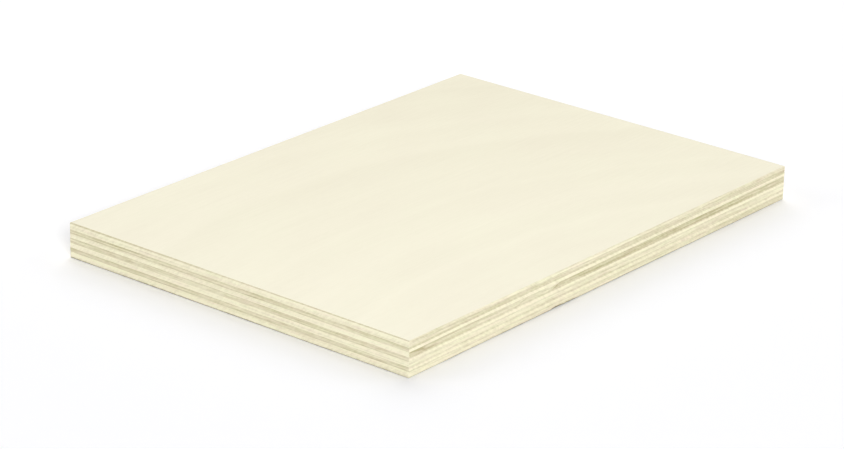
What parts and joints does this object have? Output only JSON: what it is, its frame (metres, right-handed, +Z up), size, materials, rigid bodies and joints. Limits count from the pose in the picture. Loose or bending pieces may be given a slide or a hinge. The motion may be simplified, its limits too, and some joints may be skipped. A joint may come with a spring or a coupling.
{
  "type": "plywood sheet",
  "caption": "Small rectangular sheet of pale plywood with sanded faces and sawn edges that show the crossed veneers; stock for panels, shelves and bases.",
  "frame": {"origin": "centre of the underside", "axes": "+X along the sheet's length and its face grain, +Y across its width, +Z up through its thickness"},
  "size_m": [0.297, 0.21, 0.018],
  "materials": {
    "face_veneer": "sanded bare veneer",
    "crossband": "sawn bare veneer, grain across the sheet",
    "core_veneer": "sawn bare veneer, grain along the sheet"
  },
  "bodies": {
    "root": {"face_veneer": "face_veneer", "upper_crossband": "crossband", "upper_core_left": "core_veneer", "upper_core_right": "core_veneer", "centre_crossband": "crossband", "lower_core": "core_veneer", "lower_crossband": "crossband", "back_veneer": "face_veneer"}
  },
  "joints": []
}
